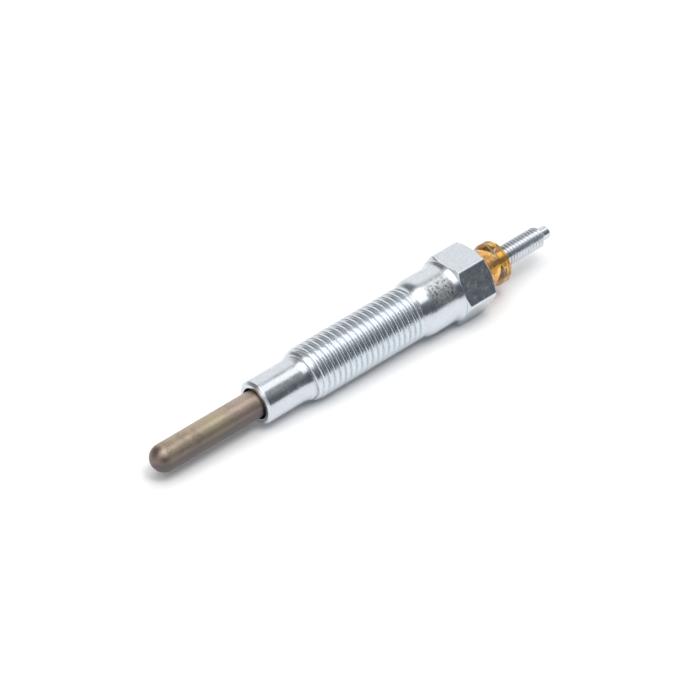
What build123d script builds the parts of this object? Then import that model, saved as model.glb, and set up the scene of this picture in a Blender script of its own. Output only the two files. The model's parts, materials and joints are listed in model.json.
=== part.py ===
from build123d import *
import os
from math import atan, cos, degrees, pi, radians, sin, tan

os.makedirs("parts", exist_ok=True)

# A sheathed diesel glow plug, in millimetres, lying on a table as it comes to rest:
# on the front edge of one flat of its hexagon and on the first full turn of its thread.
# Places along the plug are measured on its axis, from the tip of the heater.

# Heater sheath, a tube closed at the tip by a weld
sheath_diameter = 5.0
sheath_wall = 0.6
tip_thickness = 1.6
heater_reach = 22.2

# Nose of the shell, with the bore that leaves the sheath free and the seat it is pressed in
nose_gap = 0.42
nose_bore_depth = 12.0
press_length = 9.8
nose_length = 9.45
nose_chamfer = 0.45

# M10 thread and the conical sealing seat in front of it
thread_diameter = 10.0
thread_length = 23.8
seat_height = 1.0
seat_cone_angle = 63.0
relief_depth = 0.2
relief_length = 0.8

# Shank and hexagon: 11.9 across flats, for a 12 mm spanner
shoulder_angle = 25.0
shank_rise = 0.5
shank_length = 5.65
flat_rise = 0.95
corner_rise = 0.8
hex_length = 7.1
hex_chamfer_angle = 30.0
front_land = 0.15
rear_face_drop = 0.45

# Passage for the centre rod, and the pocket for the seal and the bushing
rod_gap = 0.45
pocket_depth = 4.6
seal_ring_width = 1.5

# Windings, wound from one size of wire on one diameter
wire_diameter = 0.4
powder_wall = 0.45
lead_length = 1.2
heating_turns = 7
heating_pitch = 1.0
control_turns = 9
control_pitch = 1.4
turns_on_rod = 2
joint_gap = 0.12
winding_clearance = 0.02
runs_per_turn = 12

# Centre rod: its outer end is the M4 terminal stud, rolled on the thinner rod, with a dog point
neck_past_sheath = 1.0
neck_taper = 0.6
stud_diameter = 4.0
stud_rise = 0.25
stud_length = 10.0
dog_diameter = 2.5
dog_length = 1.85
dog_chamfer = 0.3

# Seal in the sheath's mouth
seal_length = 3.0

# Insulating bushing: a collar on the shell, a waist and a wide rim at its free end
bushing_lip = 0.8
collar_drop = 0.1
collar_length = 1.7
collar_slope = 0.4
waist_depth = 0.55
waist_length = 0.9
rim_slope = 1.0
rim_length = 1.5
rim_round = 0.5
round_steps = 3
stud_clearance = 0.05

# Radii that follow from the sizes
sheath_radius = sheath_diameter / 2
cavity_radius = sheath_radius - sheath_wall
nose_bore_radius = sheath_radius + nose_gap
thread_radius = thread_diameter / 2
nose_radius = thread_radius - seat_height
relief_radius = thread_radius - relief_depth
shank_radius = thread_radius + shank_rise
flat_radius = thread_radius + flat_rise
corner_radius = flat_radius + corner_rise
land_radius = flat_radius + front_land
rear_face_radius = flat_radius - rear_face_drop
stud_radius = stud_diameter / 2
dog_radius = dog_diameter / 2
rod_radius = stud_radius - stud_rise
rod_bore_radius = rod_radius + rod_gap
pocket_radius = rod_radius + seal_ring_width
rim_radius = pocket_radius + bushing_lip
collar_radius = rim_radius - collar_drop
waist_radius = rim_radius - waist_depth
wire_radius = wire_diameter / 2
coil_radius = cavity_radius - powder_wall - wire_radius
half_run = pi / runs_per_turn
nib_radius = coil_radius * cos(half_run) - wire_radius - winding_clearance
slot_radius = coil_radius + wire_radius / cos(half_run) + winding_clearance
neck_radius = coil_radius

# Places along the shell
nose_face = heater_reach
press_start = nose_face + nose_bore_depth
sheath_end = press_start + press_length
nose_end = nose_face + nose_length
thread_start = nose_end + seat_height / tan(radians(seat_cone_angle / 2))
thread_end = thread_start + thread_length
relief_end = thread_end + relief_depth + relief_length
shank_start = relief_end + (shank_radius - relief_radius) / tan(radians(shoulder_angle))
shank_end = shank_start + shank_length
hex_front = shank_end + (flat_radius - shank_radius) / tan(radians(shoulder_angle))
hex_rear = hex_front + hex_length
corner_front = hex_front + (corner_radius - land_radius) * tan(radians(hex_chamfer_angle))
corner_rear = hex_rear - (corner_radius - rear_face_radius) * tan(radians(hex_chamfer_angle))
pocket_floor = hex_rear - pocket_depth

# Places along the heater and the rod
heating_start = tip_thickness + lead_length
heating_end = heating_start + heating_turns * heating_pitch
control_end = heating_end + control_turns * control_pitch
slot_start = heating_start - wire_radius - winding_clearance
nib_start = control_end - turns_on_rod * control_pitch
nib_end = control_end + wire_radius + winding_clearance
seal_start = sheath_end - seal_length
neck_end = sheath_end + neck_past_sheath
spigot_start = pocket_floor + seal_ring_width
collar_end = hex_rear + collar_length
waist_start = collar_end + collar_slope
waist_end = waist_start + waist_length
rim_start = waist_end + rim_slope
bushing_end = rim_start + rim_length + rim_round
stud_start = bushing_end + stud_rise
stud_end = bushing_end + stud_length
dog_start = stud_end + stud_radius - dog_radius
plug_length = dog_start + dog_length

# The lie of the plug: its axis rises from the thread to the hexagon by this angle
tilt = atan((flat_radius - thread_radius) / (hex_front - thread_start))
rise = sin(tilt)
run = cos(tilt)
# the origin is under the middle of the plug, on the table
front_reach = sheath_radius * (1 - run)
rear_reach = plug_length * run + (dog_radius - dog_chamfer) * rise
tip = Vector((front_reach - rear_reach) / 2, 0, thread_radius * run - thread_start * rise)
along = Vector(run, 0, rise)
plug_axis = Axis(tip, along)
profile = Plane(origin=tip, x_dir=along, z_dir=(0, -1, 0))


def across(place):
    """The plane square to the plug's axis at a place along it, with local x to the side."""
    return Plane(origin=tip + along * place, x_dir=(0, 1, 0), z_dir=along)


def at_coil(place, angle):
    """The point at a place along the plug where the middle of the wire passes."""
    return across(place).from_local_coords((coil_radius * cos(angle), coil_radius * sin(angle)))


def winding(start, turns, pitch, first_angle=0):
    """Points of a winding: each turn is a ring of short straight runs of wire."""
    steps = [k / runs_per_turn for k in range(round(turns * runs_per_turn) + 1)]
    angles = [max(2 * pi * step, first_angle) for step in steps]
    return [at_coil(start + pitch * angle / (2 * pi), angle) for angle in angles]


def rounded_rim():
    """Outline points of the bushing's rim where it rounds off to the end, as short cones."""
    angles = [k * pi / 2 / round_steps for k in range(round_steps + 1)]
    places = [bushing_end - rim_round * (1 - sin(angle)) for angle in angles]
    radii = [rim_radius - rim_round * (1 - cos(angle)) for angle in angles]
    return list(zip(places, radii))


# Shell: one turned piece with its hexagon, thread and nose
with BuildPart() as shell:
    with BuildSketch(profile):
        with BuildLine():
            Polyline(
                (nose_face, 0),
                (nose_face, nose_radius - nose_chamfer),
                (nose_face + nose_chamfer, nose_radius),
                (nose_end, nose_radius),
                (thread_start, thread_radius),
                (thread_end, thread_radius),
                (thread_end + relief_depth, relief_radius),
                (relief_end, relief_radius),
                (shank_start, shank_radius),
                (shank_end, shank_radius),
                (hex_front, flat_radius),
                (hex_front, land_radius),
                (corner_front, corner_radius),
                (corner_rear, corner_radius),
                (hex_rear, rear_face_radius),
                (hex_rear, 0),
                close=True,
            )
        make_face()
    revolve(axis=plug_axis)
    # six flats, one of them underneath
    with BuildSketch(across(shank_end)):
        Circle(2 * corner_radius)
        RegularPolygon(flat_radius, 6, major_radius=False, mode=Mode.SUBTRACT)
    extrude(amount=hex_rear - shank_end, mode=Mode.SUBTRACT)
    # free bore of the nose, seat of the sheath, passage of the rod, pocket of the bushing
    bores = [
        (nose_face, press_start, nose_bore_radius),
        (press_start, sheath_end, sheath_radius),
        (sheath_end, pocket_floor, rod_bore_radius),
        (pocket_floor, hex_rear, pocket_radius),
    ]
    for start, end, radius in bores:
        with BuildSketch(across(start)):
            Circle(radius)
        extrude(amount=end - start, mode=Mode.SUBTRACT)
shell.part.label = "shell"
export_step(shell.part, "parts/shell.step")

# Heater sheath: its open end stops against the step in the shell
with BuildPart() as heater_sheath:
    with BuildSketch(profile):
        with BuildLine():
            CenterArc((sheath_radius, 0), sheath_radius, 90, 90)
            Polyline(
                (sheath_radius, sheath_radius),
                (sheath_end, sheath_radius),
                (sheath_end, cavity_radius),
                (tip_thickness, cavity_radius),
                (tip_thickness, 0),
                (0, 0),
            )
        make_face()
    revolve(axis=plug_axis)
heater_sheath.part.label = "heater_sheath"
export_step(heater_sheath.part, "parts/heater_sheath.step")

# Heating coil: its lead is welded to the tip of the sheath
with BuildPart() as heating_coil:
    with BuildLine() as heating_path:
        Polyline(at_coil(tip_thickness, 0), *winding(heating_start, heating_turns, heating_pitch))
    with BuildSketch(Plane(origin=heating_path.line @ 0, z_dir=heating_path.line % 0)):
        RegularPolygon(wire_radius, 6)
    sweep(path=heating_path.line, transition=Transition.RIGHT)
heating_coil.part.label = "heating_coil"
export_step(heating_coil.part, "parts/heating_coil.step")

# Control coil: butt-welded to the heating coil, and wound on the nib of the rod at its far end
with BuildPart() as control_coil:
    with BuildLine() as control_path:
        Polyline(*winding(heating_end, control_turns, control_pitch, joint_gap / coil_radius))
    with BuildSketch(Plane(origin=control_path.line @ 0, z_dir=control_path.line % 0)):
        RegularPolygon(wire_radius, 6)
    sweep(path=control_path.line, transition=Transition.RIGHT)
control_coil.part.label = "control_coil"
export_step(control_coil.part, "parts/control_coil.step")

# Magnesia powder, pressed hard: it fills the sheath inside and outside the windings
with BuildPart() as insulating_powder:
    with BuildSketch(profile):
        with BuildLine():
            Polyline(
                (tip_thickness, 0),
                (tip_thickness, cavity_radius),
                (seal_start, cavity_radius),
                (seal_start, neck_radius),
                (nib_end, neck_radius),
                (nib_end, slot_radius),
                (slot_start, slot_radius),
                (slot_start, nib_radius),
                (nib_start, nib_radius),
                (nib_start, 0),
                close=True,
            )
        make_face()
    revolve(axis=plug_axis)
    # the way of the lead through the powder
    with BuildSketch(across(tip_thickness)):
        with Locations((coil_radius, 0)):
            Circle(wire_radius + winding_clearance)
    extrude(amount=lead_length, mode=Mode.SUBTRACT)
insulating_powder.part.label = "insulating_powder"
export_step(insulating_powder.part, "parts/insulating_powder.step")

# Centre rod: nib, neck in the sheath, rod in the shell, M4 stud and dog point
with BuildPart() as centre_rod:
    with BuildSketch(profile):
        with BuildLine():
            Polyline(
                (nib_start, 0),
                (nib_start, nib_radius),
                (nib_end, nib_radius),
                (nib_end, neck_radius),
                (neck_end, neck_radius),
                (neck_end + neck_taper, rod_radius),
                (bushing_end, rod_radius),
                (stud_start, stud_radius),
                (stud_end, stud_radius),
                (dog_start, dog_radius),
                (plug_length - dog_chamfer, dog_radius),
                (plug_length, dog_radius - dog_chamfer),
                (plug_length, 0),
                close=True,
            )
        make_face()
    revolve(axis=plug_axis)
centre_rod.part.label = "centre_rod"
export_step(centre_rod.part, "parts/centre_rod.step")

# Sheath seal: a sleeve that keeps damp out of the powder
with BuildPart() as sheath_seal:
    with BuildSketch(across(seal_start)):
        Circle(cavity_radius)
        Circle(neck_radius, mode=Mode.SUBTRACT)
    extrude(amount=seal_length)
sheath_seal.part.label = "sheath_seal"
export_step(sheath_seal.part, "parts/sheath_seal.step")

# Body seal: a rubber ring of square section, squeezed on the floor of the pocket round the rod
with BuildPart() as body_seal:
    with BuildSketch(across(pocket_floor)):
        Circle(pocket_radius)
        Circle(rod_radius, mode=Mode.SUBTRACT)
    extrude(amount=seal_ring_width)
body_seal.part.label = "body_seal"
export_step(body_seal.part, "parts/body_seal.step")

# Insulating bushing: its spigot fills the pocket and holds the body seal down
with BuildPart() as insulating_bushing:
    with BuildSketch(profile):
        with BuildLine():
            Polyline(
                (spigot_start, stud_radius + stud_clearance),
                (spigot_start, pocket_radius),
                (hex_rear, pocket_radius),
                (hex_rear, collar_radius),
                (collar_end, collar_radius),
                (waist_start, waist_radius),
                (waist_end, waist_radius),
                (rim_start, rim_radius),
                *rounded_rim(),
                (bushing_end, stud_radius + stud_clearance),
                close=True,
            )
        make_face()
    revolve(axis=plug_axis)
insulating_bushing.part.label = "insulating_bushing"
export_step(insulating_bushing.part, "parts/insulating_bushing.step")

print("lies at", round(degrees(tilt), 3), "degrees, length", round(plug_length, 2))
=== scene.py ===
import json
import math

import bmesh
import bpy
import numpy as np
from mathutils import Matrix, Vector


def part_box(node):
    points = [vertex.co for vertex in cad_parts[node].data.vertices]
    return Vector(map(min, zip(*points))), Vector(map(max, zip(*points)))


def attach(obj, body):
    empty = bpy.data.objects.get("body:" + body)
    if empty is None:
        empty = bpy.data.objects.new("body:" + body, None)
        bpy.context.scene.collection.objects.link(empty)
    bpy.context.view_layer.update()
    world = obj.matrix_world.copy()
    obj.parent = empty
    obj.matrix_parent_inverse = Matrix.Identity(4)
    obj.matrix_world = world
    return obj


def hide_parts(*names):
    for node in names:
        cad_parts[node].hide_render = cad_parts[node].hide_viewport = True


# A sheathed diesel glow plug on a white table. Sizes are in millimetres unless a name says
# otherwise, and places along the plug are measured on its axis, from the tip of the heater.

MM = 0.001
TURN = 2 * math.pi

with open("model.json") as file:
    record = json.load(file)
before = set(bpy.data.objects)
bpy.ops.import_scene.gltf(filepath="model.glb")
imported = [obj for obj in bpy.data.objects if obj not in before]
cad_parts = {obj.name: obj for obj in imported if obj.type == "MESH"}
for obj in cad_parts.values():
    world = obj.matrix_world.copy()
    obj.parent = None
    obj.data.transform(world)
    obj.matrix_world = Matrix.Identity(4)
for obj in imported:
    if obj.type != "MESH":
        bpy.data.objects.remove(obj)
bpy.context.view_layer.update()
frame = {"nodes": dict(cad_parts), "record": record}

# The plug's own directions: along the axis to the terminal, to the near side, and up
mounts = {mount["name"]: mount for mount in frame["record"]["mounts"]}
along = Vector(mounts["terminal_stud"]["axis"])
near_side = Vector((0, -1, 0))
upward = near_side.cross(along)

# Radii that the record gives
thread_radius = mounts["body_thread"]["dims"]["r_mm"]
stud_radius = mounts["terminal_stud"]["dims"]["r_mm"]

# Heater sheath
sheath_radius = 2.5
sheath_wall = 0.6
tip_thickness = 1.6
press_length = 9.8

# Shell, with the roundings of its soft shoulders
nose_gap = 0.42
nose_bore_depth = 12.0
nose_chamfer = 0.45
seat_height = 1.0
relief_depth = 0.2
relief_length = 0.8
shank_rise = 0.5
shoulder_shift = 0.35
shank_length = 5.65
shoulder_angle = math.radians(25)
flat_rise = 0.95
corner_rise = 0.8
front_land = 0.15
rear_face_drop = 0.45
hex_length = 7.1
hex_chamfer_angle = math.radians(30)
rod_gap = 0.45
pocket_depth = 4.6
seal_ring_width = 1.5
seat_rounding = 4.5
shoulder_foot_rounding = 2.9
shoulder_top_rounding = 4.4
hexagon_foot_shift = 0.15
hexagon_foot_rounding = 2.5
hexagon_blend = 0.04

# Centre rod and its stud
stud_rise = 0.25
neck_radius = 1.25
neck_past_sheath = 1.0
neck_taper = 0.6
nib_radius = 0.99
nib_start = 19.6
nib_end = 22.62
dog_radius = 1.25
dog_length = 1.85
dog_chamfer = 0.3

# Insulating bushing
bushing_lip = 0.8
collar_drop = 0.1
collar_length = 1.7
collar_slope = 0.4
waist_depth = 0.55
waist_length = 0.9
rim_slope = 1.0
rim_round = 0.5
stud_clearance = 0.05

# Threads: M10x1.25 on the shell, M4x0.7 on the stud
thread_pitch = 1.25
thread_depth = 0.58
thread_crest = 0.42
thread_phase = 34.55
stud_pitch = 0.7
stud_depth = 0.31
stud_crest = 0.2
flank_angle = math.radians(30)
thread_softness = 0.17
seat_drop = 0.55
thread_blend = 0.03
thread_fade_lead = 0.45
thread_fade_length = 0.8
stud_blend = 0.02
stud_fade_lead = 0.35
stud_fade_length = 0.7
past_crest = 0.5

# Fineness of the meshes: longest pieces of an outline, and sides round the axis
fine_step = 0.06
plain_step = 0.8
sheath_step = 0.5
stud_step = 0.035
rod_step = 1.5
bushing_step = 0.25
dome_steps = 16
bushing_steps = 8
sheath_sides = 72
rod_sides = 60
bushing_sides = 96
same_spot = 1e-8

# Margins that tell the outside from the inside, and threads and flats from plain stretches
box_slack = 0.001
outside_slack = 0.01
fine_outside_slack = 0.05
seat_margin = 0.2
fine_before_seat = 0.5
fine_after_shank = 0.3
fine_past_corners = 0.4
dog_place_slack = 0.02
dog_radius_slack = 0.05

# Radii that follow
cavity_radius = sheath_radius - sheath_wall
bore_radius = sheath_radius + nose_gap
nose_radius = thread_radius - seat_height
relief_radius = thread_radius - relief_depth
shank_radius = thread_radius + shank_rise
flat_radius = thread_radius + flat_rise
land_radius = flat_radius + front_land
corner_radius = flat_radius + corner_rise - box_slack
rear_face_radius = flat_radius - rear_face_drop
rod_radius = stud_radius - stud_rise
rod_bore_radius = rod_radius + rod_gap
pocket_radius = rod_radius + seal_ring_width
rim_radius = pocket_radius + bushing_lip
collar_radius = rim_radius - collar_drop
waist_radius = rim_radius - waist_depth
bushing_bore_radius = stud_radius + stud_clearance


def on_axis(name):
    """Place of a mount along the plug, in millimetres from the tip."""
    return (Vector(mounts[name]["pos_m"]) - tip).dot(along) / MM


# The tip of the heater, on the axis
axis_point = Vector(mounts["body_thread"]["pos_m"])
tip_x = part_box("heater_sheath")[0].x + sheath_radius * MM * (1 - along.x)
tip = axis_point + along * ((tip_x - axis_point.x) / along.x)

# Places along the plug
half_thread = mounts["body_thread"]["dims"]["length_mm"] / 2
thread_start = on_axis("body_thread") - half_thread
thread_end = on_axis("body_thread") + half_thread
half_stud = mounts["terminal_stud"]["dims"]["length_mm"] / 2
stud_start = on_axis("terminal_stud") - half_stud
stud_end = on_axis("terminal_stud") + half_stud
nose_face = 2 * on_axis("heater_sheath") - sheath_radius
nose_end = 2 * on_axis("sealing_seat") - thread_start
press_start = nose_face + nose_bore_depth
sheath_end = press_start + press_length
relief_end = thread_end + relief_depth + relief_length
shank_start = relief_end + (shank_radius - relief_radius) / math.tan(shoulder_angle)
shank_end = shank_start + shank_length
hex_front = shank_end + (flat_radius - shank_radius) / math.tan(shoulder_angle)
hex_rear = hex_front + hex_length
corner_front = hex_front + (corner_radius - land_radius) * math.tan(hex_chamfer_angle)
corner_rear = hex_rear - (corner_radius - rear_face_radius) * math.tan(hex_chamfer_angle)
pocket_floor = hex_rear - pocket_depth
spigot_start = pocket_floor + seal_ring_width
bushing_end = stud_start - stud_rise
collar_end = hex_rear + collar_length
waist_start = collar_end + collar_slope
waist_end = waist_start + waist_length
rim_start = waist_end + rim_slope
neck_end = sheath_end + neck_past_sheath
dog_start = stud_end + stud_radius - dog_radius
plug_length = dog_start + dog_length


# Camera: where the photographer stood, as the thread and the outlines show it

camera_azimuth = math.radians(-42.30)
camera_elevation = math.radians(38.09)
camera_distance = 494.9
camera_aim = 43.93
camera_lift = -0.446
sensor_width = 36
lens_length = 147.95
nearest_seen = 0.01


def make_camera():
    """A long lens that looks down on the plug from the heater's end."""
    level = math.cos(camera_elevation)
    back = Vector((math.sin(camera_azimuth) * level, -math.cos(camera_azimuth) * level,
                   math.sin(camera_elevation)))
    right = Vector((math.cos(camera_azimuth), math.sin(camera_azimuth), 0))
    picture_up = back.cross(right)
    aim = tip + along * camera_aim * MM + picture_up * camera_lift * MM
    data = bpy.data.cameras.new("camera")
    data.sensor_width = sensor_width
    data.lens = lens_length
    data.clip_start = nearest_seen
    camera = bpy.data.objects.new("camera", data)
    camera.location = aim + back * camera_distance * MM
    camera.rotation_mode = "QUATERNION"
    camera.rotation_quaternion = (-back).to_track_quat("-Z", "Y")
    bpy.context.collection.objects.link(camera)
    bpy.context.scene.camera = camera


make_camera()


# Outlines: corners as (place, radius, rounding), softened into fine lines

def soften(corners, steps=4, closed=True):
    """The outline through the corners, each rounded by its own radius."""
    count = len(corners)
    line = []
    for i, (place, radius, rounding) in enumerate(corners):
        here = np.array([place, radius])
        if rounding == 0 or (not closed and i in (0, count - 1)):
            line.append(here)
            continue
        before = np.array(corners[i - 1][:2]) - here
        after = np.array(corners[(i + 1) % count][:2]) - here
        before_length, after_length = np.linalg.norm(before), np.linalg.norm(after)
        before, after = before / before_length, after / after_length
        half = math.acos(np.clip(before @ after, -1, 1)) / 2
        reach = min(rounding / math.tan(half), before_length, after_length)
        start, end = here + before * reach, here + after * reach
        for step in range(steps + 1):
            t = step / steps
            line.append(start * (1 - t) ** 2 + 2 * here * t * (1 - t) + end * t ** 2)
    return line


def divide(line, longest, closed=True):
    """The same line with no piece longer than longest(place, radius) allows."""
    fine = []
    ends = line[1:] + line[:1] if closed else line[1:]
    for a, b in zip(line, ends):
        pieces = max(1, math.ceil(np.linalg.norm(b - a) / longest(*((a + b) / 2))))
        fine += [a + (b - a) * k / pieces for k in range(pieces)]
    if not closed:
        fine.append(line[-1])
    return np.array(fine)


def every(length):
    """The same longest piece all along an outline."""
    return lambda place, radius: length


def turn(name, line, angles, shape=None, closed=True):
    """A turned solid: the line swept round the axis, its radii changed by shape if given."""
    places = line[:, 0][:, None] * np.ones(len(angles))
    radii = line[:, 1][:, None] * np.ones(len(angles))
    turns = np.ones(len(line))[:, None] * np.array(angles)
    if shape:
        radii = shape(places, radii, turns)
    axes = np.array([along, upward, near_side])
    points = (places[..., None] * axes[0]
              + (radii * np.cos(turns))[..., None] * axes[1]
              + (radii * np.sin(turns))[..., None] * axes[2])
    points = points.reshape(-1, 3) * MM + np.array(tip)
    rows, columns = len(line), len(angles)
    faces = []
    for i in range(rows if closed else rows - 1):
        a, b = i * columns, (i + 1) % rows * columns
        for j in range(columns):
            k = (j + 1) % columns
            faces.append((a + j, a + k, b + k, b + j))
    mesh = bpy.data.meshes.new(name)
    mesh.from_pydata(points.tolist(), [], faces)
    work = bmesh.new()
    work.from_mesh(mesh)
    bmesh.ops.remove_doubles(work, verts=work.verts, dist=same_spot)
    bmesh.ops.recalc_face_normals(work, faces=work.faces)
    work.to_mesh(mesh)
    work.free()
    for face in mesh.polygons:
        face.use_smooth = True
    piece = bpy.data.objects.new(name, mesh)
    bpy.context.collection.objects.link(piece)
    return piece


def least(a, b, blend):
    """The smaller of two radii, with a soft change from one to the other."""
    near = np.clip(0.5 + 0.5 * (b - a) / blend, 0, 1)
    return b + (a - b) * near - blend * near * (1 - near)


def thread(places, turns, pitch, crest_radius, depth, crest, phase):
    """Radius of a right-hand thread with 60 degree flanks."""
    course = (places - phase) / pitch - turns / TURN
    from_groove = np.abs(course - np.round(course)) * pitch
    flank = depth * math.tan(flank_angle)
    root = pitch / 2 - crest / 2 - flank
    height = (from_groove - root) / math.tan(flank_angle)
    root_radius = crest_radius - depth
    soft = thread_softness * depth
    cut = -least(-height, np.zeros_like(height), soft)
    return least(root_radius + cut, np.full_like(cut, crest_radius), soft)


def run_out(ridge, crest_radius, share):
    """Lifts the thread's grooves past its crest as a share goes from 0 to 1."""
    return ridge + (crest_radius + past_crest - ridge) * np.clip(share, 0, 1)


def even_angles(count):
    """Angles spread evenly round the axis."""
    return [TURN * k / count for k in range(count)]


# Shell

hexagon_edge = math.acos(flat_radius / corner_radius)


def shell_angles():
    """Angles round the shell, close together at the six corners of the hexagon."""
    wide = [0, 4, 8, 12, 16, 20, 23.6]
    edge = math.degrees(hexagon_edge)
    fine = [edge - 1.7, edge - 0.8, edge, edge + 0.8, 30]
    half = wide + fine
    sector = [-a for a in half[:0:-1]] + half[:-1]
    return [math.radians(60 * k + a) for k in range(6) for a in sector]


def shell_shape(places, radii, turns):
    """Cuts the thread and the six flats into the turned outline."""
    ridge = thread(places, turns, thread_pitch, thread_radius, thread_depth, thread_crest,
                   thread_phase)
    down_seat = np.clip((thread_start - places) / (thread_start - nose_end), 0, 1)
    ridge = ridge - seat_drop * down_seat
    ridge = run_out(ridge, thread_radius,
                    (places - thread_end + thread_fade_lead) / thread_fade_length)
    outside = radii > nose_radius - outside_slack
    threaded = outside & (places > nose_end - seat_margin) & (places < relief_end)
    radii = np.where(threaded, least(radii, ridge, thread_blend), radii)
    from_flat = (turns + TURN / 12) % (TURN / 6) - TURN / 12
    flat = flat_radius / np.cos(from_flat)
    flattened = outside & (places > shank_end)
    return np.where(flattened, least(radii, flat, hexagon_blend), radii)


def shell_step(place, radius):
    """Longest piece of the shell's outline: short where thread and flats are cut into it."""
    threaded = nose_end - fine_before_seat < place < relief_end
    front = shank_end + fine_after_shank < place < corner_front + fine_past_corners
    rear = corner_rear - fine_past_corners < place < hex_rear
    outside = radius > nose_radius - fine_outside_slack
    return fine_step if outside and (threaded or front or rear) else plain_step


def make_shell():
    """The shell with its bores, thread, flats and broken edges."""
    corners = [
        (press_start, sheath_radius, 0),
        (press_start, bore_radius, 0),
        (nose_face, bore_radius, 0.1),
        (nose_face, nose_radius - nose_chamfer, 0.06),
        (nose_face + nose_chamfer, nose_radius, 0.15),
        (nose_end, nose_radius, seat_rounding),
        (thread_start, thread_radius, seat_rounding),
        (thread_end, thread_radius, 0.05),
        (thread_end + relief_depth, relief_radius, 0.05),
        (relief_end - shoulder_shift, relief_radius, shoulder_foot_rounding),
        (shank_start - shoulder_shift, shank_radius, shoulder_top_rounding),
        (shank_end + hexagon_foot_shift, shank_radius, hexagon_foot_rounding),
        (hex_front, flat_radius, 0.03),
        (hex_front, land_radius, 0.05),
        (corner_front, corner_radius, 0.08),
        (corner_rear, corner_radius, 0.08),
        (hex_rear, rear_face_radius, 0.12),
        (hex_rear, pocket_radius, 0),
        (pocket_floor, pocket_radius, 0),
        (pocket_floor, rod_bore_radius, 0),
        (sheath_end, rod_bore_radius, 0),
        (sheath_end, sheath_radius, 0),
    ]
    line = divide(soften(corners), shell_step)
    shell = turn("threaded_shell", line, shell_angles(), shell_shape)
    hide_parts("shell")
    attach(shell, "root")
    return shell


# Heater sheath

def make_sheath():
    """The heater's closed tube with its round welded tip."""
    corners = [(0, 0, 0)]
    for k in range(1, dome_steps + 1):
        lean = k * math.pi / 2 / dome_steps
        place, radius = sheath_radius * (1 - math.cos(lean)), sheath_radius * math.sin(lean)
        corners.append((place, radius, 0))
    corners += [
        (sheath_end, sheath_radius, 0),
        (sheath_end, cavity_radius, 0),
        (tip_thickness, cavity_radius, 0),
        (tip_thickness, 0, 0),
    ]
    line = divide(soften(corners, closed=False), every(sheath_step), closed=False)
    sheath = turn("heater_tube", line, even_angles(sheath_sides), closed=False)
    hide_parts("heater_sheath")
    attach(sheath, "root")
    return sheath


# Centre rod with its stud

def rod_shape(places, radii, turns):
    """Cuts the stud's thread into the turned outline."""
    ridge = thread(places, turns, stud_pitch, stud_radius, stud_depth, stud_crest, stud_start)
    ridge = run_out(ridge, stud_radius,
                    (stud_start + stud_fade_lead - places) / stud_fade_length)
    on_stud = (places > bushing_end) & (places < dog_start + dog_place_slack)
    threaded = on_stud & (radii > dog_radius + dog_radius_slack)
    return np.where(threaded, least(radii, ridge, stud_blend), radii)


def rod_pieces(place, radius):
    """Longest piece of the rod's outline: short on the stud, where the thread is cut."""
    return stud_step if place > bushing_end else rod_step


def make_rod():
    """The centre rod: nib, neck, rod, threaded stud and dog point."""
    corners = [
        (nib_start, 0, 0),
        (nib_start, nib_radius, 0),
        (nib_end, nib_radius, 0),
        (nib_end, neck_radius, 0),
        (neck_end, neck_radius, 0),
        (neck_end + neck_taper, rod_radius, 0),
        (bushing_end, rod_radius, 0),
        (stud_start, stud_radius, 0.05),
        (stud_end, stud_radius, 0.06),
        (dog_start, dog_radius, 0.06),
        (plug_length - dog_chamfer, dog_radius, 0.08),
        (plug_length, dog_radius - dog_chamfer, 0.06),
        (plug_length, 0, 0),
    ]
    line = divide(soften(corners, closed=False), rod_pieces, closed=False)
    rod = turn("terminal_rod", line, even_angles(rod_sides), rod_shape, closed=False)
    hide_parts("centre_rod")
    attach(rod, "root")
    return rod


# Insulating bushing

def make_bushing():
    """The amber bushing: spigot, collar, waist and wide rim."""
    corners = [
        (spigot_start, bushing_bore_radius, 0),
        (spigot_start, pocket_radius, 0),
        (hex_rear, pocket_radius, 0),
        (hex_rear, collar_radius, 0.1),
        (collar_end, collar_radius, 0.4),
        (waist_start, waist_radius, 0.5),
        (waist_end, waist_radius, 0.8),
        (rim_start, rim_radius, 0.8),
        (bushing_end, rim_radius, rim_round),
        (bushing_end, bushing_bore_radius, 0.15),
    ]
    line = divide(soften(corners, steps=bushing_steps), every(bushing_step))
    bushing = turn("amber_bushing", line, even_angles(bushing_sides))
    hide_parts("insulating_bushing")
    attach(bushing, "root")
    return bushing


# Tones of the finishes
plate_dull = (0.69, 0.73, 0.773, 1)
plate_bright = (0.76, 0.805, 0.848, 1)
plate_on_thread = (0.75, 0.81, 0.85, 1)
plate_speck = (0.61, 0.64, 0.69, 1)
plate_worn = (0.60, 0.62, 0.63, 1)
plate_pit = (0.20, 0.21, 0.22, 1)
alloy_dark = (0.34, 0.27, 0.20, 1)
alloy_light = (0.48, 0.39, 0.295, 1)
alloy_straw = (0.47, 0.40, 0.275, 1)
alloy_plum = (0.46, 0.36, 0.31, 1)
alloy_fleck = (0.58, 0.51, 0.44, 1)
alloy_tip = (0.23, 0.18, 0.155, 1)
# Painted shade: a dark grey tone laid over the sheath's underside
alloy_painted_underside_shade = (0.145, 0.124, 0.12, 1)
amber_deep = (1.0, 0.64, 0.20, 1)
amber_pale = (1.0, 0.84, 0.42, 1)
amber_inside = (0.98, 0.70, 0.10, 1)
amber_density = 220.0

# Cloudy patches of the finishes: patches per mm, low and high
plate_clouds = (0.9, 0.35, 0.7)
plate_specks = (6.0, 0.5, 0.62)
plate_pits = (2.4, 0.5, 0.58)
plate_grain = (9.0, 0.2, 0.8)
alloy_clouds = (0.45, 0.35, 0.65)
alloy_flecks = (4.0, 0.55, 0.68)
amber_clouds = (0.6, 0.35, 0.65)

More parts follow.
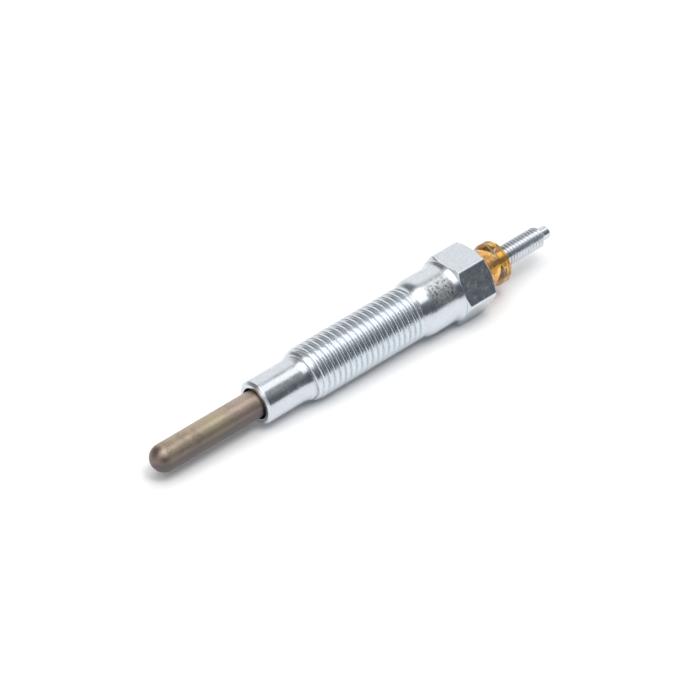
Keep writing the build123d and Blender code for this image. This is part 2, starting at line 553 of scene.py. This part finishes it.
# Bands of the finishes, along the plug or round it from the top: low, high and softness
thread_band = (nose_end + 0.5, thread_end, 0.6)
worn_band = (shank_start + 0.4, shank_end - 0.3, 0.5)
worn_turn = (math.radians(18), math.radians(58), 0.14)
straw_band = (10.5, 15.0, 2.5)
plum_band = (16.5, 21.0, 1.8)
tip_band = (-1.0, 1.7, 0.7)
# The last band, round the axis, is where painted shade darkens the sheath's underside
painted_shade_turn = (math.radians(67), math.radians(220), 0.36)

# Depths of the fine relief: marks of turning and the grain of the pieces inside
mark_depth = 0.02
grain_depth = 0.05


# Finishes: shared effects as node groups

def add(tree, kind, inputs=None, **settings):
    """A node of a kind, with its settings, and its inputs given as values or sockets."""
    node = tree.nodes.new(kind)
    for key, value in settings.items():
        setattr(node, key, value)
    for key, value in (inputs or {}).items():
        if isinstance(value, bpy.types.NodeSocket):
            tree.links.new(value, node.inputs[key])
        else:
            node.inputs[key].default_value = value
    return node


def new_group(name, inputs, outputs):
    """A shader node group with its sockets, and its two end nodes."""
    group = bpy.data.node_groups.new(name, "ShaderNodeTree")
    for label, kind, value in inputs:
        socket = group.interface.new_socket(label, in_out="INPUT", socket_type=kind)
        if value is not None:
            socket.default_value = value
    for label, kind in outputs:
        group.interface.new_socket(label, in_out="OUTPUT", socket_type=kind)
    return group, group.nodes.new("NodeGroupInput"), group.nodes.new("NodeGroupOutput")


def plug_coordinates():
    """Places in millimetres, the first one along the axis, and the angle round the axis.

    The angle is in radians, from the top over the near side.
    """
    group, _, out = new_group("plug_coordinates", [], [
        ("Vector", "NodeSocketVector"), ("Along", "NodeSocketFloat"),
        ("Turn", "NodeSocketFloat"),
    ])
    where = add(group, "ShaderNodeTexCoord")
    lean = math.atan2(along.z, along.x)
    place = add(group, "ShaderNodeMapping", {
        "Vector": where.outputs["Object"], "Location": -tip,
    }, vector_type="POINT")
    turned = add(group, "ShaderNodeVectorRotate", {
        "Vector": place.outputs[0], "Axis": (0, 1, 0), "Angle": lean,
    }, rotation_type="AXIS_ANGLE")
    scaled = add(group, "ShaderNodeVectorMath", {0: turned.outputs[0], "Scale": 1 / MM},
                 operation="SCALE")
    parts = add(group, "ShaderNodeSeparateXYZ", {0: scaled.outputs[0]})
    nearer = add(group, "ShaderNodeMath", {0: parts.outputs["Y"], 1: -1.0},
                 operation="MULTIPLY")
    angle = add(group, "ShaderNodeMath", {0: nearer.outputs[0], 1: parts.outputs["Z"]},
                operation="ARCTAN2")
    group.links.new(scaled.outputs[0], out.inputs["Vector"])
    group.links.new(parts.outputs["X"], out.inputs["Along"])
    group.links.new(angle.outputs[0], out.inputs["Turn"])
    return group


def turning_marks():
    """Fine rings left by the lathe: lines round the axis that waver and fade a little."""
    group, given, out = new_group("turning_marks", [
        ("Vector", "NodeSocketVector", None),
        ("Lines per mm", "NodeSocketFloat", 8.0),
    ], [("Height", "NodeSocketFloat")])
    stretch = add(group, "ShaderNodeCombineXYZ", {
        "X": given.outputs["Lines per mm"], "Y": 0.25, "Z": 0.25,
    })
    spot = add(group, "ShaderNodeVectorMath", {
        0: given.outputs["Vector"], 1: stretch.outputs[0],
    }, operation="MULTIPLY")
    noise = add(group, "ShaderNodeTexNoise", {
        "Vector": spot.outputs[0], "Scale": 1.0, "Detail": 3.0, "Roughness": 0.6,
    })
    group.links.new(noise.outputs["Fac"], out.inputs["Height"])
    return group


def mottle():
    """Cloudy change of tone in patches of a given size, from 0 to 1."""
    group, given, out = new_group("mottle", [
        ("Vector", "NodeSocketVector", None),
        ("Patches per mm", "NodeSocketFloat", 1.0),
        ("Low", "NodeSocketFloat", 0.4),
        ("High", "NodeSocketFloat", 0.6),
    ], [("Fac", "NodeSocketFloat")])
    cloud = add(group, "ShaderNodeTexNoise", {
        "Vector": given.outputs["Vector"], "Scale": given.outputs["Patches per mm"],
        "Detail": 4.0, "Roughness": 0.6,
    })
    contrast = add(group, "ShaderNodeMapRange", {
        "Value": cloud.outputs["Fac"], "From Min": given.outputs["Low"],
        "From Max": given.outputs["High"],
    }, interpolation_type="SMOOTHSTEP")
    group.links.new(contrast.outputs[0], out.inputs["Fac"])
    return group


def band():
    """A mask that is 1 between two values and fades to 0 outside them."""
    group, given, out = new_group("band", [
        ("Value", "NodeSocketFloat", None),
        ("Low", "NodeSocketFloat", 0.0),
        ("High", "NodeSocketFloat", 1.0),
        ("Softness", "NodeSocketFloat", 0.1),
    ], [("Mask", "NodeSocketFloat")])
    sides = []
    for edge, ways in (("Low", ("SUBTRACT", "ADD")), ("High", ("ADD", "SUBTRACT"))):
        start, end = [add(group, "ShaderNodeMath", {
            0: given.outputs[edge], 1: given.outputs["Softness"],
        }, operation=way).outputs[0] for way in ways]
        sides.append(add(group, "ShaderNodeMapRange", {
            "Value": given.outputs["Value"], "From Min": start, "From Max": end,
        }, interpolation_type="SMOOTHSTEP").outputs[0])
    mask = add(group, "ShaderNodeMath", {0: sides[0], 1: sides[1]}, operation="MULTIPLY")
    group.links.new(mask.outputs[0], out.inputs["Mask"])
    return group


coordinates_group = plug_coordinates()
marks_group = turning_marks()
mottle_group = mottle()
band_group = band()


def new_material(name):
    """A material with its surface shader and the plug's coordinates."""
    material = bpy.data.materials.new(name)
    material.use_nodes = True
    tree = material.node_tree
    surface = tree.nodes["Principled BSDF"]
    where = add(tree, "ShaderNodeGroup", node_tree=coordinates_group)
    return material, tree, surface, where.outputs


def patches(tree, where, per_mm, low, high):
    """A mottle of this material's own scale."""
    return add(tree, "ShaderNodeGroup", {
        "Vector": where["Vector"], "Patches per mm": per_mm, "Low": low, "High": high,
    }, node_tree=mottle_group).outputs["Fac"]


def rings(tree, where, per_mm):
    """Turning marks of this material's own scale."""
    return add(tree, "ShaderNodeGroup", {"Vector": where["Vector"], "Lines per mm": per_mm},
               node_tree=marks_group).outputs["Height"]


def between(tree, value, low, high, softness):
    """A band of this material's own reach."""
    return add(tree, "ShaderNodeGroup", {
        "Value": value, "Low": low, "High": high, "Softness": softness,
    }, node_tree=band_group).outputs["Mask"]


def both(tree, first, second):
    """Where two masks overlap."""
    return add(tree, "ShaderNodeMath", {0: first, 1: second}, operation="MULTIPLY").outputs[0]


def mix_colour(tree, fac, first, second):
    """One colour over another by a mask."""
    return add(tree, "ShaderNodeMix", {"Factor": fac, 6: first, 7: second},
               data_type="RGBA").outputs[2]


def layered(tree, tone, layers):
    """A tone with others laid over it in turn, each by its own mask."""
    for mask, colour in layers:
        tone = mix_colour(tree, mask, tone, colour)
    return tone


def spread(tree, value, low, high):
    """A share from 0 to 1, spread from one value to another."""
    return add(tree, "ShaderNodeMapRange", {
        "Value": value, "To Min": low, "To Max": high,
    }).outputs[0]


def bump(tree, height, strength, depth, below=None):
    """The normal of a surface with a fine relief, over another relief if one is given."""
    inputs = {"Height": height, "Strength": strength, "Distance": depth * MM}
    if below is not None:
        inputs["Normal"] = below
    return add(tree, "ShaderNodeBump", inputs).outputs[0]


def zinc():
    """Bright zinc plate, faintly blue, on turned steel, with a rough patch on the shank."""
    material, tree, surface, where = new_material("bright_zinc_plate")
    cloudy = patches(tree, where, *plate_clouds)
    specks = patches(tree, where, *plate_specks)
    ribbed = between(tree, where["Along"], *thread_band)
    worn = both(tree, between(tree, where["Along"], *worn_band),
                between(tree, where["Turn"], *worn_turn))
    pitted = both(tree, worn, patches(tree, where, *plate_pits))
    tone = layered(tree, mix_colour(tree, cloudy, plate_dull, plate_bright), [
        (ribbed, plate_on_thread), (specks, plate_speck), (worn, plate_worn),
        (pitted, plate_pit),
    ])
    tree.links.new(tone, surface.inputs["Base Color"])
    surface.inputs["Metallic"].default_value = 1.0
    rough = spread(tree, cloudy, 0.20, 0.28)
    rough = spread(tree, ribbed, rough, 0.26)
    rough = spread(tree, worn, rough, 0.4)
    tree.links.new(rough, surface.inputs["Roughness"])
    grain = bump(tree, patches(tree, where, *plate_grain), 0.06, mark_depth)
    marks = bump(tree, rings(tree, where, 4.0), 0.3, mark_depth, below=grain)
    tree.links.new(marks, surface.inputs["Normal"])
    return material


def browned_alloy():
    """Heat-resistant alloy, browned by annealing, with painted shade that makes its underside
    darker and greyer.
    """
    material, tree, surface, where = new_material("browned_alloy")
    cloudy = patches(tree, where, *alloy_clouds)
    flecks = patches(tree, where, *alloy_flecks)
    from_top = add(tree, "ShaderNodeMath", {0: where["Turn"]}, operation="ABSOLUTE")
    # Painted shade: the sheath's underside is darkened, round the axis from the top
    painted_underside_shade = between(tree, from_top.outputs[0], *painted_shade_turn)
    straw = between(tree, where["Along"], *straw_band)
    plum = between(tree, where["Along"], *plum_band)
    dome = between(tree, where["Along"], *tip_band)
    tone = layered(tree, mix_colour(tree, cloudy, alloy_dark, alloy_light), [
        (straw, alloy_straw), (plum, alloy_plum), (flecks, alloy_fleck),
        (dome, alloy_tip), (painted_underside_shade, alloy_painted_underside_shade),
    ])
    tree.links.new(tone, surface.inputs["Base Color"])
    surface.inputs["Metallic"].default_value = 0.85
    tree.links.new(spread(tree, flecks, 0.38, 0.46), surface.inputs["Roughness"])
    marks = bump(tree, rings(tree, where, 3.0), 0.2, mark_depth)
    tree.links.new(marks, surface.inputs["Normal"])
    return material


def amber():
    """Clear amber plastic, glossy and a little cloudy."""
    material, tree, surface, where = new_material("amber_plastic")
    cloudy = patches(tree, where, *amber_clouds)
    tone = mix_colour(tree, cloudy, amber_deep, amber_pale)
    tree.links.new(tone, surface.inputs["Base Color"])
    surface.inputs["Roughness"].default_value = 0.04
    surface.inputs["Transmission Weight"].default_value = 0.94
    surface.inputs["IOR"].default_value = 1.6
    body = add(tree, "ShaderNodeVolumeAbsorption", {
        "Color": amber_inside, "Density": amber_density,
    })
    output = tree.nodes["Material Output"]
    tree.links.new(body.outputs[0], output.inputs["Volume"])
    marks = bump(tree, rings(tree, where, 3.0), 0.08, mark_depth)
    tree.links.new(marks, surface.inputs["Normal"])
    return material


def plain_finish(name, dark, light, metallic, rough_low, rough_high, per_mm, strength):
    """A finish for the pieces inside: two tones in fine patches, with a little relief."""
    material, tree, surface, where = new_material(name)
    grain = patches(tree, where, per_mm, 0.35, 0.65)
    tree.links.new(mix_colour(tree, grain, dark, light), surface.inputs["Base Color"])
    surface.inputs["Metallic"].default_value = metallic
    tree.links.new(spread(tree, grain, rough_low, rough_high), surface.inputs["Roughness"])
    tree.links.new(bump(tree, grain, strength, grain_depth), surface.inputs["Normal"])
    return material


def finish_node(name, material):
    """Gives a carried-over piece its finish."""
    piece = frame["nodes"][name]
    piece.data.materials.clear()
    piece.data.materials.append(material)


shell_piece = make_shell()
sheath_piece = make_sheath()
rod_piece = make_rod()
bushing_piece = make_bushing()

zinc_plate = zinc()
shell_piece.data.materials.append(zinc_plate)
rod_piece.data.materials.append(zinc_plate)
sheath_piece.data.materials.append(browned_alloy())
bushing_piece.data.materials.append(amber())

wire = plain_finish("resistance_wire", (0.36, 0.34, 0.31, 1), (0.5, 0.47, 0.43, 1), 1.0,
                    0.3, 0.45, 12.0, 0.1)
powder = plain_finish("pressed_magnesia", (0.74, 0.72, 0.68, 1), (0.9, 0.89, 0.86, 1), 0.0,
                      0.8, 0.95, 20.0, 0.4)
rubber = plain_finish("seal_rubber", (0.02, 0.02, 0.02, 1), (0.05, 0.05, 0.05, 1), 0.0,
                      0.55, 0.75, 8.0, 0.2)
finish_node("heating_coil", wire)
finish_node("control_coil", wire)
finish_node("insulating_powder", powder)
finish_node("sheath_seal", rubber)
finish_node("body_seal", rubber)


# Table, lights and surroundings

floor_size = 6.0
floor_tone = 0.74
floor_tone_mirrored = 0.90
floor_tone_seen = 0.965
floor_roughness = 0.7
floor_gloss = 0.2
floor_gap = 0.00001
softbox_height = 1.0
softbox_length = 2.4
softbox_width = 0.6
softbox_place = (0.3, -0.025)
softbox_watts = 4.2
fill_height = 1.0
fill_side = 0.4
fill_place = (0.0, -0.45)
fill_watts = 4.0


def grey(value):
    """A grey with no tint."""
    return (value, value, value, 1)


def make_floor():
    """A white table that keeps the plug's shadow."""
    half = floor_size / 2
    mesh = bpy.data.meshes.new("table_top")
    mesh.from_pydata([(-half, -half, 0), (half, -half, 0), (half, half, 0), (-half, half, 0)],
                     [], [(0, 1, 2, 3)])
    table = bpy.data.objects.new("table_top", mesh)
    table.location.z = -floor_gap
    bpy.context.collection.objects.link(table)
    material = bpy.data.materials.new("white_table")
    material.use_nodes = True
    tree = material.node_tree
    surface = tree.nodes["Principled BSDF"]
    surface.inputs["Roughness"].default_value = floor_roughness
    surface.inputs["Specular IOR Level"].default_value = floor_gloss
    rays = add(tree, "ShaderNodeLightPath")
    tone = mix_colour(tree, rays.outputs["Is Glossy Ray"], grey(floor_tone),
                      grey(floor_tone_mirrored))
    seen = add(tree, "ShaderNodeMath", {
        0: rays.outputs["Is Camera Ray"], 1: rays.outputs["Is Transmission Ray"],
    }, operation="MAXIMUM")
    tone = mix_colour(tree, seen.outputs[0], tone, grey(floor_tone_seen))
    tree.links.new(tone, surface.inputs["Base Color"])
    mesh.materials.append(material)


def make_lamp(name, place, length, width, watts):
    """A soft lamp that faces straight down."""
    data = bpy.data.lights.new(name, "AREA")
    data.shape = "RECTANGLE"
    data.size = length
    data.size_y = width
    data.energy = watts
    lamp = bpy.data.objects.new(name, data)
    lamp.location = place
    bpy.context.collection.objects.link(lamp)
    return lamp


def make_lamps():
    """A long softbox above the plug, and a fill light that its bright metal doesn't mirror."""
    make_lamp("softbox", (*softbox_place, softbox_height), softbox_length, softbox_width,
              softbox_watts)
    fill = make_lamp("fill_light", (*fill_place, fill_height), fill_side, fill_side, fill_watts)
    fill.visible_glossy = False
    fill.visible_transmission = False


# Colours of the room round the plug's axis, from the near horizon over the top to the far one:
# on the terminal's side of the picture, on the heater's side, and past the two ends
right_bands = [
    (0.0, (0.085, 0.094, 0.107)), (0.12, (0.095, 0.103, 0.113)), (0.19, (0.145, 0.155, 0.167)),
    (0.25, (0.26, 0.27, 0.28)), (0.36, (0.32, 0.32, 0.33)), (0.41, (0.38, 0.38, 0.38)),
    (0.61, (0.45, 0.45, 0.45)), (0.655, (0.68, 0.68, 0.68)), (0.70, (1.0, 1.0, 1.0)),
    (0.80, (1.04, 1.04, 1.04)), (1.0, (0.97, 0.97, 0.97)),
]
left_bands = [
    (0.0, (0.08, 0.09, 0.11)), (0.27, (0.11, 0.12, 0.14)), (0.31, (1.5, 1.5, 1.5)),
    (0.54, (1.5, 1.5, 1.5)), (0.60, (0.5, 0.5, 0.5)), (0.67, (0.20, 0.20, 0.21)),
    (0.84, (0.20, 0.20, 0.21)), (0.95, (0.42, 0.42, 0.43)), (1.0, (0.47, 0.47, 0.48)),
]
left_end_bands = [
    (0.0, (0.62, 0.63, 0.66)), (0.3, (0.7, 0.7, 0.7)), (0.4, (1.2, 1.2, 1.2)),
    (0.54, (1.2, 1.2, 1.2)), (0.65, (0.62, 0.62, 0.62)), (1.0, (0.62, 0.62, 0.62)),
]
right_end_bands = [
    (0.0, (1.3, 1.3, 1.32)), (0.27, (1.3, 1.3, 1.3)), (0.31, (1.3, 1.3, 1.3)),
    (0.54, (1.3, 1.3, 1.3)), (0.60, (0.6, 0.6, 0.6)), (1.0, (0.5, 0.5, 0.5)),
]
# How far along the axis a direction leans where one side gives way to the next
left_end_lean = (-0.90, -0.70)
side_lean = (0.05, 0.30)
right_end_lean = (0.74, 0.88)
room_strength = 1.0


def colour_ramp(tree, share, stops):
    """Colours that change along a share from 0 to 1."""
    node = add(tree, "ShaderNodeValToRGB", {"Fac": share})
    ramp = node.color_ramp
    while len(ramp.elements) < len(stops):
        ramp.elements.new(0.5)
    for element, (place, colour) in zip(ramp.elements, stops):
        element.position = place
        element.color = (*colour, 1)
    return node.outputs["Color"]


def make_room():
    """Surroundings: dark on the near side, a pale wall behind, white where the camera looks."""
    world = bpy.data.worlds.new("studio")
    bpy.context.scene.world = world
    world.use_nodes = True
    tree = world.node_tree
    tree.nodes.clear()
    where = add(tree, "ShaderNodeTexCoord")
    parts = add(tree, "ShaderNodeSeparateXYZ", {0: where.outputs["Generated"]})
    nearer = add(tree, "ShaderNodeMath", {0: parts.outputs["Y"], 1: -1.0}, operation="MULTIPLY")
    angle = add(tree, "ShaderNodeMath", {0: parts.outputs["Z"], 1: nearer.outputs[0]},
                operation="ARCTAN2")
    share = add(tree, "ShaderNodeMath", {0: angle.outputs[0], 1: math.pi}, operation="DIVIDE")
    tone = colour_ramp(tree, share.outputs[0], left_end_bands)
    for span, bands in ((left_end_lean, left_bands), (side_lean, right_bands),
                        (right_end_lean, right_end_bands)):
        past = add(tree, "ShaderNodeMapRange", {
            "Value": parts.outputs["X"], "From Min": span[0], "From Max": span[1],
        }, interpolation_type="SMOOTHSTEP")
        tone = mix_colour(tree, past.outputs[0], tone,
                          colour_ramp(tree, share.outputs[0], bands))
    room = add(tree, "ShaderNodeBackground", {
        "Color": tone, "Strength": room_strength,
    })
    backdrop = add(tree, "ShaderNodeBackground", {"Color": (1, 1, 1, 1), "Strength": 1.0})
    rays = add(tree, "ShaderNodeLightPath")
    seen = add(tree, "ShaderNodeMixShader", {
        "Fac": rays.outputs["Is Camera Ray"], 1: room.outputs[0], 2: backdrop.outputs[0],
    })
    add(tree, "ShaderNodeOutputWorld", {"Surface": seen.outputs[0]})


make_floor()
make_lamps()
make_room()
bpy.context.scene.view_settings.view_transform = "Standard"
